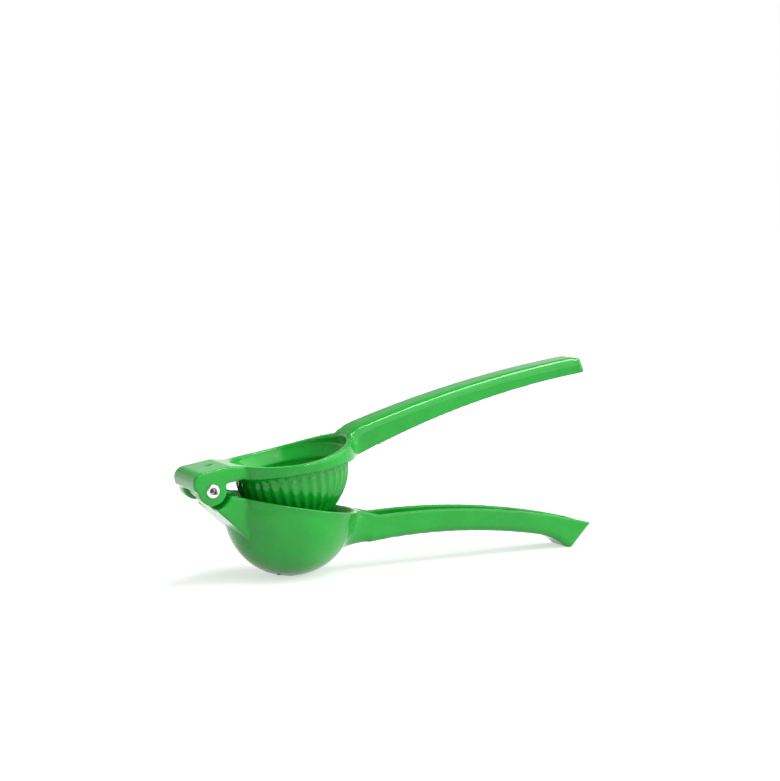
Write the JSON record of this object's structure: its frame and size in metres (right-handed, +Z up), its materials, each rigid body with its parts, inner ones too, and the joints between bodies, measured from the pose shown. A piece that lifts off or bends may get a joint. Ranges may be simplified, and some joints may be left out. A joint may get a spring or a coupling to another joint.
{
  "type": "hinged lemon squeezer",
  "caption": "Hand-held citrus press: a perforated bowl and a fluted press cup on two long handles that turn on a riveted hinge.",
  "frame": {"origin": "the lowest point of the bowl's underside, where the squeezer rests on the table", "axes": "+X from the hinge towards the handles, +Y across the tool to the side of the rivet's plain head, +Z up"},
  "size_m": [0.2217, 0.0696, 0.1006],
  "materials": {
    "enamel": "gloss green enamel on cast aluminium",
    "rivet_steel": "bright zinc-plated steel"
  },
  "bodies": {
    "lower": {"lower_arm": "enamel"},
    "upper": {"upper_arm": "enamel", "hinge_rivet": "rivet_steel"}
  },
  "joints": [
    {"name": "hinge", "type": "hinge", "parent": "lower", "child": "upper", "pos_m": [-0.04481, 0, 0.04821], "axis": [0, -1, 0], "range_deg": [-20, 67]}
  ]
}
